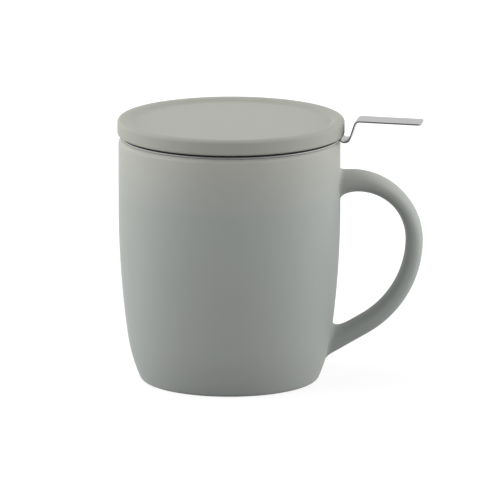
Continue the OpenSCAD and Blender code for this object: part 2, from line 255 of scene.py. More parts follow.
class StageSettings(bpy.types.PropertyGroup):
    """Camera, light and floor."""
    distance: length("Camera distance", "From the camera to the point that it looks at", 3.0)
    elevation: angle("Camera elevation", "Height of the camera above the horizon", 12.28)
    look_x: length("Look at X", "Point that the camera looks at, towards the handle", 0.00796)
    look_z: length("Look at Z", "Height of the point that the camera looks at", 0.05063)
    lens: bpy.props.FloatProperty(name="Lens", description="Focal length on a 36 mm sensor",
                                  default=556.3, min=1.0, unit="CAMERA")
    floor_radius: length("Floor radius", "Radius of the round floor", 12.0)
    floor_tone: factor("Floor tone", "How much light the floor throws back at the object", 0.32)
    floor_glow: factor("Floor glow", "Brightness of the floor to the camera without any light", 0.8)
    floor_shadow: factor("Floor shadow", "How much of the light and shadow on the floor is seen", 0.28)
    front_floor: factor("Front floor", "Mirrored brightness of the floor before the mug", 0.06)
    front_level: factor("Front level", "Brightness of what is mirrored from behind the camera", 0.45)
    ambient: factor("Ambient", "Strength of the even light from all around", 0.08, 10.0)
    left_power: watts("Left light", "Power of the tall lamp on the left", 7.5)
    right_power: watts("Right light", "Power of the lamp on the right", 6.15)
    back_power: watts("Back light", "Power of the lamp close behind the mug", 0.42)


class TeaMug(bpy.types.PropertyGroup):
    """All the settings of the tea mug."""
    mug: part(MugSizes, "Mug", "Sizes of the mug")
    handle: part(HandleSizes, "Handle", "Sizes of the handle")
    infuser: part(InfuserSizes, "Infuser", "Sizes of the infuser")
    tab: part(TabSizes, "Tab", "Sizes of the tab")
    lid: part(LidSizes, "Lid", "Sizes of the lid")
    finish: part(Finishes, "Finishes", "Colours and surfaces")
    stage: part(StageSettings, "Stage", "Camera and light")


def settings():
    """The scene's settings of the tea mug."""
    return bpy.context.scene.tea_mug


# ---------------- outlines

def arc(cx, cz, radius, start, end, steps=EDGE_STEPS):
    """Points (cx + r cos a, cz + r sin a) for even steps of a from start to end."""
    a = np.linspace(start, end, steps + 1)
    return np.stack([cx + radius * np.cos(a), cz + radius * np.sin(a)], axis=1)


def line(start, end):
    """Points on a straight line, closer together near its ends: share (1 - cos(pi i / n)) / 2."""
    share = (1 - np.cos(np.linspace(0, math.pi, STRAIGHT_STEPS + 1)))[:, None] / 2
    return np.array(start) * (1 - share) + np.array(end) * share


def joined(*stretches):
    """Stretches of an outline one after the other, without repeated points."""
    same_point = 1e-8
    points = np.concatenate(stretches)
    keep = np.ones(len(points), bool)
    keep[1:] = np.linalg.norm(np.diff(points, axis=0), axis=1) > same_point
    return points[keep]


def bends(corners, radii, steps):
    """The start of a line, the arcs at its corners and its end, each with points and headings.

    An arc of radius r that turns by t starts r tan(t / 2) before its corner, so that it touches
    both sides. Its points lie at r (sin a, -cos a) from its middle, or at minus that where the
    line turns right. The steps are a number for all arcs or one for each.
    """
    v = np.array(corners)
    heading = np.unwrap(np.arctan2(*np.diff(v, axis=0).T[::-1]))
    found = [(v[:1], heading[:1])]
    steps = np.broadcast_to(steps, len(radii))
    for corner, radius, count, start, end in zip(v[1:], radii, steps, heading, heading[1:]):
        left = math.copysign(1.0, end - start)
        ahead = np.array([math.cos(start), math.sin(start)])
        across = np.array([-ahead[1], ahead[0]])
        middle = corner + radius * (left * across - math.tan(abs(end - start) / 2) * ahead)
        a = np.linspace(start, end, count + 1)
        found.append((middle + left * radius * np.stack([np.sin(a), -np.cos(a)], axis=1), a))
    return [*found, (v[-1:], heading[-1:])]


def rounded(corners, radii, steps=EDGE_STEPS):
    """An outline through corners, of which all but the first and the last get these radii."""
    stops = [points for points, _ in bends(corners, radii, steps)]
    stretches = [(stop, line(stop[-1], after[0])) for stop, after in zip(stops, stops[1:])]
    return joined(*(piece for pair in stretches for piece in pair))


def mug_curves(m):
    """Centres and angles of the arcs that make up the mug's side, from the foot to the rim."""
    c = SimpleNamespace()
    c.side_z = RIM_Z - m.straight
    c.side_x = m.rim_radius - m.side_radius
    c.turn = math.asin((c.side_z - m.turn_height) / m.side_radius)
    c.belly_x = c.side_x + (m.side_radius - m.belly_radius) * math.cos(c.turn)
    c.belly_z = c.side_z - (m.side_radius - m.belly_radius) * math.sin(c.turn)
    c.foot = math.asin((c.belly_z - m.foot_edge) / (m.belly_radius - m.foot_edge))
    c.foot_r = c.belly_x + (m.belly_radius - m.foot_edge) * math.cos(c.foot)
    c.floor_z = m.foot_recess + m.floor
    inner = m.belly_radius - m.wall - m.corner
    c.floor = math.asin((c.belly_z - c.floor_z - m.corner) / inner)
    c.corner_x = c.belly_x + inner * math.cos(c.floor)
    return c


def outside_radius(m, z):
    """Radius of the mug's outside at heights z: straight, then the side's arc, then the belly's."""
    c = mug_curves(m)
    side = c.side_x + np.sqrt(m.side_radius ** 2 - (c.side_z - np.minimum(z, c.side_z)) ** 2)
    belly = c.belly_x + np.sqrt(m.belly_radius ** 2 - np.clip(c.belly_z - z, 0, m.belly_radius) ** 2)
    return np.where(z >= m.turn_height, side, belly)


def mug_outline(m):
    """Radius and height along the mug from the middle of its underside over the rim to the floor."""
    c = mug_curves(m)
    inner_r = m.rim_radius - m.wall
    foot_in = c.foot_r - m.foot_width
    edge = m.foot_inner_edge
    recess_r = foot_in - m.foot_recess - edge
    return joined(
        line((0, m.foot_recess), (recess_r, m.foot_recess)),
        arc(recess_r, m.foot_recess - edge, edge, RIGHT, RIGHT / 2),
        arc(foot_in + edge / 2, edge, edge, -2.5 * RIGHT, -RIGHT),
        arc(c.foot_r, m.foot_edge, m.foot_edge, -RIGHT, -c.foot),
        arc(c.belly_x, c.belly_z, m.belly_radius, -c.foot, -c.turn, CURVE_STEPS),
        arc(c.side_x, c.side_z, m.side_radius, -c.turn, 0, CURVE_STEPS),
        rounded([(m.rim_radius, c.side_z), (m.rim_radius, RIM_Z), (inner_r, RIM_Z),
                 (inner_r, c.side_z)], (m.lip_outer, m.lip_inner)),
        arc(c.side_x, c.side_z, m.side_radius - m.wall, 0, -c.turn, CURVE_STEPS),
        arc(c.belly_x, c.belly_z, m.belly_radius - m.wall, -c.turn, -c.floor, CURVE_STEPS),
        arc(c.corner_x, c.floor_z + m.corner, m.corner, -c.floor, -RIGHT, 2 * EDGE_STEPS),
        line((c.corner_x, c.floor_z), (0, c.floor_z)))


def basket_radius(s):
    """Outer radius of the basket's tube."""
    return s.mug.rim_radius - s.mug.wall - s.infuser.basket_gap


def lid_ring_radius(s):
    """Outer radius of the lid's locating ring."""
    return basket_radius(s) - s.infuser.sheet - s.lid.ring_play


def tab_relief(s):
    """Height of the lid's edge above the flange, in which the tab has its room."""
    return s.tab.sheet + s.tab.play


def lid_outline(s):
    """Radius and height along the lid from the middle of its underside over the edge to the dish."""
    d = s.lid
    e = d.ring_edge
    radius = s.mug.rim_radius + d.over
    ring_r = lid_ring_radius(s)
    ring_in = ring_r - d.ring_wall
    seat_r = ring_r + d.seat
    edge_z = FLANGE_TOP_Z + tab_relief(s)
    dish_z = LID_TOP_Z - d.dish
    plate_z = dish_z - d.plate
    bend = math.acos(1 - d.dish / (2 * d.dish_curve))
    crest_in = radius - d.top_edge - d.crest
    dish_r = crest_in - 2 * d.dish_curve * math.sin(bend)
    return joined(
        rounded([(0, plate_z), (ring_in, plate_z), (ring_in, LID_LOW_Z), (ring_r, LID_LOW_Z),
                 (ring_r, FLANGE_TOP_Z), (seat_r, FLANGE_TOP_Z), (seat_r + tab_relief(s), edge_z),
                 (radius, edge_z), (radius, LID_TOP_Z), (crest_in, LID_TOP_Z)],
                (e, e, e, 0, 0, 0, d.low_edge, d.top_edge)),
        arc(crest_in, LID_TOP_Z - d.dish_curve, d.dish_curve, RIGHT, RIGHT + bend),
        arc(dish_r, dish_z + d.dish_curve, d.dish_curve, bend - RIGHT, -RIGHT),
        line((dish_r, dish_z), (0, dish_z)))


def flange_outline(s):
    """Closed loop of radius and height around the section of the flange and its collar."""
    f = s.infuser
    e = f.edge
    inner, outer = basket_radius(s), s.mug.rim_radius - f.flange_inset
    low_z, under_z = COLLAR_LOW_Z, FLANGE_TOP_Z - f.flange_sheet
    start = (inner, under_z - f.flange_bend)
    return rounded([start, (inner, low_z), (inner + f.flange_sheet, low_z),
                    (inner + f.flange_sheet, under_z), (outer, under_z), (outer, FLANGE_TOP_Z),
                    (inner, FLANGE_TOP_Z), start],
                   (e, e, f.flange_bend, e, e, f.flange_bend + f.flange_sheet),
                   (CUT_STEPS, CUT_STEPS, EDGE_STEPS) * 2)[:-1]


# ---------------- meshes

def full_turn(steps):
    """Even angles over one full turn."""
    return np.arange(steps) * 2 * math.pi / steps


def around_axis(r, a, z):
    """A grid of the points (r cos a, r sin a, z)."""
    return np.stack(np.broadcast_arrays(r * np.cos(a), r * np.sin(a), z), axis=-1)


def grid_faces(rows, columns, wrap_rows=False):
    """Quads of a grid that wraps around, in which point (i, j) has the number i * columns + j."""
    i = np.arange(rows if wrap_rows else rows - 1)[:, None]
    j = np.arange(columns)[None, :]
    i1 = (i + 1) % rows
    j1 = (j + 1) % columns
    return np.stack([i * columns + j, i * columns + j1, i1 * columns + j1, i1 * columns + j],
                    axis=-1).reshape(-1, 4)


def fan(first, columns, middle):
    """Triangles from a ring of points, whose numbers start at the first, to a middle point."""
    j = np.arange(columns)
    return np.stack([first + j, first + (j + 1) % columns, 0 * j + middle], axis=1)


def capped(grid):
    """A grid's points and faces, with a fan from its first and its last row to that row's middle."""
    rows, columns = grid.shape[:2]
    count = rows * columns
    points = np.concatenate([grid.reshape(-1, 3), grid[[0, -1]].mean(axis=1)])
    return points, [grid_faces(rows, columns), fan(0, columns, count)[:, ::-1],
                    fan(count - columns, columns, count + 1)]


def mesh_object(name, points, groups, flat_groups=()):
    """A mesh of groups of numbered faces, turned so that it encloses a positive volume.

    The volume is a sixth of the sum of a . (b x c) over all triangles. Groups that are listed in
    flat_groups are shaded flat, and all others smooth.
    """
    volume = 0.0
    for g in groups:
        for k in range(1, g.shape[1] - 1):
            a, b, c = points[g[:, 0]], points[g[:, k]], points[g[:, k + 1]]
            volume += np.einsum("ij,ij->", a, np.cross(b, c))
    if volume < 0:
        groups = [g[:, ::-1] for g in groups]
    mesh = bpy.data.meshes.new(name)
    sizes = np.concatenate([np.full(len(g), g.shape[1]) for g in groups])
    corners = np.concatenate([g.ravel() for g in groups])
    used, corners = np.unique(corners, return_inverse=True)
    mesh.vertices.add(len(used))
    mesh.vertices.foreach_set("co", points[used].astype(np.float32).ravel())
    mesh.loops.add(len(corners))
    mesh.loops.foreach_set("vertex_index", corners.astype(np.int32).ravel())
    mesh.polygons.add(len(sizes))
    mesh.polygons.foreach_set("loop_start", (np.cumsum(sizes) - sizes).astype(np.int32))
    smooth = np.concatenate([np.full(len(g), n not in flat_groups) for n, g in enumerate(groups)])
    mesh.polygons.foreach_set("use_smooth", smooth)
    mesh.update(calc_edges=True)
    mesh.validate()
    thing = bpy.data.objects.new(name, mesh)
    bpy.context.scene.collection.objects.link(thing)
    return thing


def turned(name, outline, closed=False, slip=0.0):
    """A turned piece: point (i, j) is (r_i cos a_j + slip, r_i sin a_j, z_i).

    An outline from axis to axis ends in one point at each pole. A closed one wraps around itself.
    """
    rings = outline if closed else outline[1:-1]
    grid = around_axis(rings[:, :1], full_turn(TURN_STEPS), rings[:, 1:])
    if closed:
        points, faces = grid.reshape(-1, 3), [grid_faces(*grid.shape[:2], wrap_rows=True)]
    else:
        points, faces = capped(grid)
    return mesh_object(name, points + np.array([slip, 0, 0]), faces)


def hung(points, s):
    """Points of the infuser, turned about its axis and moved to where it hangs in the mug."""
    c, n = math.cos(-s.infuser.turn), math.sin(-s.infuser.turn)
    turn = np.array([[c, n, 0], [-n, c, 0], [0, 0, 1]])
    return points @ turn + np.array([s.infuser.slip, 0, 0])


def handle_points(s):
    """The strap: a superellipse carried along a bend, a sweep and a straight stretch.

    A section point is (t/2 * p(cos k), w/2 * p(sin k)) with p(v) = sign(v) |v|^(2/n). From where
    it is thinnest, t grows with a power of the share of the turn to either end. Between the path
    and a wall each lengthwise line runs on straight, and its rows are set by their distance d
    from the wall, so that all of them meet it together. There the section grows by
    h * (1 - sqrt(1 - (1 - d/L)^2)), a quarter of an ellipse that ends along the wall.
    """
    h = s.handle
    k = full_turn(STRAP_STEPS)
    cu, sv = (np.sign(f) * np.abs(f) ** (2 / h.squareness) for f in (np.cos(k), np.sin(k)))

    def thickness(a):
        upper = a > h.thin_angle
        end = np.where(upper, RIGHT, -h.low_angle)
        t = np.where(upper, h.top_thickness, h.low_thickness)
        return h.thin + (t - h.thin) * ((a - h.thin_angle) / (end - h.thin_angle)) ** h.thicken

    def blend(d, height):
        rest = np.clip(1 - d / (height * h.root_stretch), 0, 1)
        return height * (1 - np.sqrt(1 - rest ** 2))

    def section(cx, cz, a, d):
        """Section points about (cx, cz) at angle a, blended for their distance d from the wall."""
        u = cu * (thickness(a) / 2 + blend(d, np.where(cu < 0, h.root_inside, h.root_outside)))
        v = sv * (h.width / 2 + blend(d, h.root_outside))
        return np.stack(np.broadcast_arrays(cx + u * np.cos(a), v, cz + u * np.sin(a)), axis=-1)

    def gap(p):
        return np.hypot(p[..., 0], p[..., 1]) - outside_radius(s.mug, p[..., 2])

    a = np.concatenate([np.linspace(RIGHT, 0, PATH_STEPS + 1),
                        np.linspace(0, -h.low_angle, PATH_STEPS + 1)[1:]])[:, None]
    radius = np.where(a < 0, h.low_radius, h.top_radius)
    cx = s.mug.rim_radius + h.out - radius + radius * np.cos(a)
    cz = h.height + radius * np.sin(a)
    rows = section(cx, cz, a, np.inf)
    for _ in range(PATH_ROUNDS):
        rows = section(cx, cz, a, gap(rows))

    def root(end, heading):
        """Rows from an end of the path into the wall, at distances that close up near it."""
        x, z, turn = cx[end, 0], cz[end, 0], a[end, 0]
        first = gap(section(x, z, turn, gap(section(x, z, turn, np.inf))))
        share = np.linspace(0, 1, ROOT_STEPS + 1)[1:, None]
        d = first * (1 - np.sin(share * RIGHT))
        d = np.concatenate([d, 0 * first[None] - h.root_depth])
        run = np.zeros_like(d)
        for _ in range(ROOT_ROUNDS):
            run += gap(section(x + run * heading[0], z + run * heading[1], turn, d)) - d
        return section(x + run * heading[0], z + run * heading[1], turn, d)

    top = root(0, (-1.0, 0.0))
    low = root(-1, (-math.sin(h.low_angle), -math.cos(h.low_angle)))
    return np.concatenate([top[::-1], rows, low])


def rounded_off(size, radius, distance):
    """A half size near a rounded end: size - r + sqrt(r^2 - (r - d)^2) at distances d under r."""
    left = np.clip(distance / radius, 0, 1)
    return size - radius + radius * np.sqrt(1 - (1 - left) ** 2)


def tab_points(s):
    """The tab: a flat section with sheared edges carried along the bent line of the strip.

    Row i lies at distance q_i from the inner end. Its half width is rounded off towards the tip
    and its half thickness towards both ends. Its section has four rounded edges, with points
    between them across both faces.
    """
    t = s.tab
    half = t.sheet / 2
    inner = lid_ring_radius(s) + s.lid.seat + tab_relief(s) + t.play
    reach = s.mug.rim_radius + t.out - half * math.sin(t.droop)
    low_z = RIM_Z + half - t.dip
    joggle = s.mug.rim_radius - s.infuser.flange_inset + t.joggle_gap
    leg_x = s.mug.rim_radius + t.bend_out
    rise_x = leg_x + t.rise / math.tan(t.leg_angle)
    corners = [(inner, FLANGE_TOP_Z + half), (joggle, FLANGE_TOP_Z + half),
               (joggle + t.joggle_width, low_z), (leg_x, low_z), (rise_x, low_z + t.rise),
               (reach, low_z + t.rise - (reach - rise_x) * math.tan(t.droop))]
    radii = (t.joggle_radius, t.joggle_radius, t.bend_radius, t.bend_radius)
    path, headings = (np.concatenate(p) for p in zip(*bends(corners, radii, TAB_BEND_STEPS)))
    reached = np.concatenate([[0], np.cumsum(np.linalg.norm(np.diff(path, axis=0), axis=1))])
    total = reached[-1]
    run = total - t.tip_corner
    k = np.linspace(0, RIGHT, TAB_EDGE_POINTS)
    q = np.concatenate([t.edge * (1 - np.cos(k)), reached[reached < run],
                        np.linspace(0, run, TAB_RUN_POINTS),
                        run + t.tip_corner * np.sin(np.linspace(0, RIGHT, TAB_TIP_POINTS)),
                        total - t.edge * (1 - np.cos(k))])
    q = np.unique(np.round(q, 8))[:, None]
    inside = rounded_off(t.width / 2, t.tip_corner, total - q) - t.edge
    thick = rounded_off(half, t.edge, np.minimum(total - q, q))
    edge_v = t.edge * np.concatenate([np.sin(k), np.cos(k)])
    edge_u = np.concatenate([1 - t.edge / half * (1 - np.cos(k)), t.edge / half * (1 - np.sin(k)) - 1])
    across = np.array([0.98, *np.linspace(0.9, -0.9, 9), -0.98])  # shares of the half width
    v = np.concatenate([inside + edge_v, inside * across, -inside - edge_v[::-1], -inside * across],
                       axis=1)
    u = thick * np.concatenate([edge_u, -1 + 0 * across, edge_u[::-1], 1 + 0 * across])
    turn = np.interp(q, reached, headings)
    x, z = (np.interp(q, reached, p) for p in path.T)
    return np.stack([x - u * np.sin(turn), v, z + u * np.cos(turn)], axis=-1)


# A cell of a perforated sheet: sixteen points around its edge, in quarters of the cell
CELL_U = np.array([0, 1, 2, 3, 4, 4, 4, 4, 4, 3, 2, 1, 0, 0, 0, 0])
CELL_V = np.array([0, 0, 0, 0, 0, 1, 2, 3, 4, 4, 4, 4, 4, 3, 2, 1])
QUARTERS = 4
HALF = 2


def cell_faces(edge, inner, holed):
    """Quads between a cell's edge and its hole, or a fan to its middle where it has no hole."""
    edge_next, inner_next = np.roll(edge, -1, axis=1), np.roll(inner, -1, axis=1)
    ring = np.stack([edge, edge_next, inner_next, inner], axis=-1)[holed].reshape(-1, 4)
    middle = np.broadcast_to(inner[:, :1], edge.shape)
    blind = np.stack([edge, edge_next, middle], axis=-1)[~holed].reshape(-1, 3)
    return ring, blind


def thickened(points, inner_points, groups):
    """Closes a sheet into a shell: the sheet, its copy at inner_points, and a wall on each free edge.

    Returns the points and the groups of faces. The last group is the walls.
    """
    edges = np.concatenate([np.stack([g, np.roll(g, -1, axis=1)], axis=-1).reshape(-1, 2)
                            for g in groups])
    low, high = edges.min(axis=1), edges.max(axis=1)
    _, first, count = np.unique(low * len(points) + high, return_index=True, return_counts=True)
    free = edges[first[count == 1]]
    n = len(points)
    walls = np.stack([free[:, 1], free[:, 0], free[:, 0] + n, free[:, 1] + n], axis=1)
    return (np.concatenate([points, inner_points]),
            [*groups, *[g[:, ::-1] + n for g in groups], walls])


def tube_points(s):
    """The perforated tube: staggered cells on a cylinder, with plain bands below and above.

    Quarter lines of the cells give the points (r cos(c U), r sin(c U), z_V). Odd rows are shifted
    by half a cell. A hole's points lie on a circle, in the directions of its cell's edge points.
    """
    f = s.infuser
    r = basket_radius(s)
    columns = 2 * round(math.pi * r / f.pitch)
    around = QUARTERS * columns
    row_step = f.pitch * math.sin(math.radians(60))
    low = PAN_TOP_Z + f.plain + f.hole / 2 - row_step / 2
    high = COLLAR_LOW_Z - f.plain - f.hole / 2 + row_step / 2
    rows = int((high - low) / row_step + 1e-6)  # a little more keeps a whole number whole
    z = np.concatenate([np.linspace(BASKET_LOW_Z, low, BAND_STEPS + 1)[:-1],
                        low + row_step / QUARTERS * np.arange(QUARTERS * rows + 1),
                        np.linspace(low + rows * row_step, BASKET_TOP_Z, BAND_STEPS + 1)[1:]])
    grid_a, grid_z = np.meshgrid(full_turn(around), z)
    row, column = np.indices((rows, columns)).reshape(2, -1)
    first_u = QUARTERS * column + HALF * (row % 2)
    first_v = BAND_STEPS + QUARTERS * row
    edge = (first_v[:, None] + CELL_V) * around + (first_u[:, None] + CELL_U) % around
    inner = len(z) * around + np.arange(len(row) * len(CELL_U)).reshape(len(row), -1)
    du = (CELL_U - HALF) * 2 * math.pi / around
    dv = (CELL_V - HALF) * row_step / QUARTERS
    middle_a = (first_u + HALF) * 2 * math.pi / around
    holed = np.abs(middle_a % (2 * math.pi) - math.pi) > (f.seam / 2 + f.hole) / r
    reach = f.hole / 2 / np.hypot(du * r, dv) * holed[:, None]
    angles = np.concatenate([grid_a.ravel(), (middle_a[:, None] + du * reach).ravel()])
    heights = np.concatenate([grid_z.ravel(), (z[first_v + HALF][:, None] + dv * reach).ravel()])
    ring, blind = cell_faces(edge, inner, holed)
    bands = grid_faces(len(z), around).reshape(len(z) - 1, around, 4)
    bands = np.concatenate([bands[:BAND_STEPS], bands[BAND_STEPS + QUARTERS * rows:]]).reshape(-1, 4)
    return thickened(around_axis(r, angles, heights), around_axis(r - f.sheet, angles, heights),
                     [ring, blind, bands])


def zipped(outer, inner):
    """Triangles between two rings of points with different numbers, both over one full turn.

    The angles of both rings are sorted together, and each step along one ring makes a triangle
    with the point last passed on the other.
    """
    n, m = len(outer), len(inner)
    outer_first = 1e-9
    a = np.concatenate([np.arange(n) / n, np.arange(m) / m + outer_first])
    on_outer = np.argsort(a, kind="stable") < n
    at_outer = np.cumsum(on_outer) - 1
    at_inner = np.cumsum(~on_outer) - 1
    step_outer = np.stack([outer[(at_outer - 1) % n], outer[at_outer % n], inner[at_inner % m]], axis=1)
    step_inner = np.stack([inner[at_inner % m], inner[(at_inner - 1) % m], outer[at_outer % n]], axis=1)
    return np.where(on_outer[:, None], step_outer, step_inner)


def pan_points(s):
    """The perforated pan: rings of cells on a disc, then a bend and a turned-up edge.

    Ring k has 6k cells between radii (k - 1/2) p and (k + 1/2) p, less a small margin in which
    rings with different numbers of points are zipped together. A developed radius q is mapped to
    the flat floor, the bend's arc and the upright edge in turn.
    """
    f = s.infuser
    outer_r = basket_radius(s) - f.sheet
    bend_r = f.pan_bend + f.sheet
    flat_r = outer_r - bend_r
    rings = int((outer_r - f.plain - f.hole / 2) / f.pitch)
    margin = PAN_MARGIN * f.pitch
    points, groups = [], []

    def add(radius, turn):
        """Adds flat points at a radius and a turn, and returns their numbers."""
        first = sum(len(p) for p in points)
        grid = around_axis(radius, turn, 0)[..., :2]
        points.append(grid.reshape(-1, 2))
        return first + np.arange(len(points[-1])).reshape(grid.shape[:2])

    grid = add(np.array([[f.hole / 2], [f.pitch / 2 - margin]]), full_turn(6 * QUARTERS))
    groups.append(grid_faces(*grid.shape))
    for ring in range(1, rings + 1):
        cells = 6 * ring
        around = cells * QUARTERS
        last = grid[-1]
        radii = ring * f.pitch + np.linspace(-1, 1, QUARTERS + 1) * (f.pitch / 2 - margin)
        grid = add(radii[:, None], full_turn(around))
        groups.append(zipped(grid[0], last))
        first_u = QUARTERS * np.arange(cells)[:, None] - HALF
        edge = grid[CELL_V[None], (first_u + CELL_U) % around]
        edge_r, edge_a = radii[CELL_V], (CELL_U - HALF) * 2 * math.pi / around
        ex, ey = edge_r * np.cos(edge_a) - ring * f.pitch, edge_r * np.sin(edge_a)
        reach = f.hole / 2 / np.hypot(ex, ey)
        hx, hy = ring * f.pitch + ex * reach, ey * reach
        hole = add(np.hypot(hx, hy), np.arctan2(hy, hx) + full_turn(cells)[:, None])
        groups.append(cell_faces(edge, hole, np.ones(cells, bool))[0][:, ::-1])
    upright = PAN_TOP_Z - BASKET_LOW_Z - bend_r
    out = np.concatenate([np.linspace((rings + 0.5) * f.pitch, flat_r, PAN_BAND_POINTS),
                          flat_r + bend_r * np.linspace(0, RIGHT, PAN_BEND_STEPS + 1)[1:],
                          flat_r + bend_r * RIGHT
                          + upright * np.linspace(0, 1, PAN_EDGE_STEPS + 1)[1:]])
    last = grid[-1]
    grid = add(out[:, None], full_turn(len(last)))
    groups.append(zipped(grid[0], last))
    groups.append(grid_faces(*grid.shape) + grid.min())
    xy = np.concatenate(points)
    q = np.hypot(xy[:, 0], xy[:, 1])
    direction = xy / q[:, None]
    bend = np.clip((q - flat_r) / bend_r, 0, RIGHT)
    rise = np.maximum(q - flat_r - bend_r * RIGHT, 0)

    def at(depth):
        """The sheet's surface at a depth inside its outer face."""
        r = np.where(q < flat_r, q, flat_r + (bend_r - depth) * np.sin(bend))
        z = BASKET_LOW_Z + bend_r - (bend_r - depth) * np.cos(bend) + rise
        return np.column_stack([direction * r[:, None], z])

    return thickened(at(0.0), at(f.sheet), [g[:, ::-1] for g in groups])


def lap_points(s):
    """The inner lap of the rolled sheet: a thin curved strip, one section carried up the tube."""
    f = s.infuser
    outer = basket_radius(s) - f.sheet
    half = f.seam / 2 / basket_radius(s)
    a = math.pi + np.linspace(-half, half, LAP_POINTS)
    z = np.linspace(PAN_TOP_Z + f.sheet, BASKET_TOP_Z, LAP_ROWS)[:, None]
    return around_axis(np.repeat([outer, outer - f.sheet], len(a)), np.concatenate([a, a[::-1]]), z)


# ---------------- finishes

# Features a metre in the patterns of the finishes
GLAZE_CLOUDS = 38.0
GLAZE_SPECKS = 2600.0
GLAZE_SHEEN = 700.0
GLAZE_PEEL = 1500.0
FOOT_EDGE = 900.0
CLAY_GRIT = 3000.0
STEEL_LINES = 2600.0
STEEL_PATCHES = 60.0
WELD_PATCHES = 1800.0

# How much of its colour a finish keeps where a pattern is darkest, at a cut edge as painted shade, and
# in the heat
CLOUD_TONE = 0.96
SPECK_TONE = 0.62
GRIT_TONE = 0.8
PATCH_TONE = 0.93
LINE_TONE = 0.8
CUT_SHADE_TONE = 0.48
HEAT_TONE = 0.6

# How proud the peel of the glaze, the lines of the steel and the welds' patches stand
PEEL_HEIGHT = 0.00002
LINE_HEIGHT = 0.000004
WELD_HEIGHT = 0.00003

# Scale of the steel's lines along x, y and z, which run where it is small
FLANGE_GRAIN = (0.06, 0.06, 1.0)
TUBE_GRAIN = (0.04, 0.04, 1.0)
PAN_GRAIN = (1.0, 0.04, 1.0)
TAB_GRAIN = (0.03, 1.0, 0.03)

# Lowest edge of the glaze at the bare foot, how ragged it is, and its blur
CLAY_HEIGHT = 0.0001
CLAY_RAGGED = 0.0004
CLAY_BLUR = 0.00015

# Share of the turn from the rim's painted light to the cooler, darker tone below (partly real glaze,
# partly painted shade) at which it starts, and the blur below the lid's own tone
TURN_START = 0.2
LID_BLUR = 0.0002

# Distances inside a sheared edge between which the steel turns dark with painted shade
CUT_SHADE_START = 0.0001
CUT_SHADE_END = 0.00002


def new_material(name):
    """A fresh material. Returns it with its node tree and its shader."""
    material = bpy.data.materials.new(name)
    material.use_nodes = True
    tree = material.node_tree
    return material, tree, tree.nodes["Principled BSDF"]


def fill(tree, made, inputs):
    """Links a node's inputs to sockets, and gives the others their values."""
    for key, value in dict(inputs).items():
        if isinstance(value, bpy.types.NodeSocket):
            tree.links.new(value, made.inputs[key])
        else:
            made.inputs[key].default_value = value


def node(tree, kind, inputs=(), **settings_of_node):
    """A node of a kind with some of its settings and inputs filled in."""
    made = tree.nodes.new(kind)
    for key, value in settings_of_node.items():
        setattr(made, key, value)
    fill(tree, made, inputs)
    return made


def maths(tree, operation, *values, clamp=False):
    """The outcome of an operation on one to three values."""
    return node(tree, "ShaderNodeMath", enumerate(values), operation=operation,
                use_clamp=clamp).outputs[0]


def place(tree, scale=(1.0, 1.0, 1.0), turn=0.0, shift=(0.0, 0.0, 0.0)):
    """Object coordinates, scaled, turned about the upright axis and then shifted."""
    here = node(tree, "ShaderNodeTexCoord").outputs["Object"]
    return node(tree, "ShaderNodeMapping",
                {"Vector": here, "Scale": scale, "Rotation": (0, 0, turn), "Location": shift},
                vector_type="POINT").outputs["Vector"]


def along(tree, vector, axis):
    """One of a vector's three numbers."""
    return node(tree, "ShaderNodeSeparateXYZ", {"Vector": vector}).outputs[axis]


def noise(tree, vector, scale, detail=2.0, roughness=0.5):
    """Noise between 0 and 1 with so many features a metre."""
    return node(tree, "ShaderNodeTexNoise", {"Vector": vector, "Scale": scale, "Detail": detail,
                                             "Roughness": roughness}).outputs["Fac"]


def ramp(tree, value, low, high, out_low=0.0, out_high=1.0):
    """Value between low and high mapped to another range, and held there."""
    return node(tree, "ShaderNodeMapRange", {"Value": value, "From Min": low, "From Max": high,
                                             "To Min": out_low, "To Max": out_high}).outputs["Result"]


def mixed(tree, share, one, other):
    """One colour turning into another. Each is a colour or a socket."""
    one, other = (c if isinstance(c, bpy.types.NodeSocket) else (*c, 1.0) for c in (one, other))
    return node(tree, "ShaderNodeMix", {0: share, 6: one, 7: other}, data_type="RGBA").outputs[2]


def bumps(tree, height, distance, strength=1.0):
    """Normals of a surface on which a height between 0 and 1 stands proud by so many metres."""
    return node(tree, "ShaderNodeBump", {"Height": height, "Distance": distance,
                                         "Strength": strength}).outputs["Normal"]


def shaded(share, tone):
    """A colour made darker, by the share of it that is kept."""
    return tuple(c * share for c in tone)


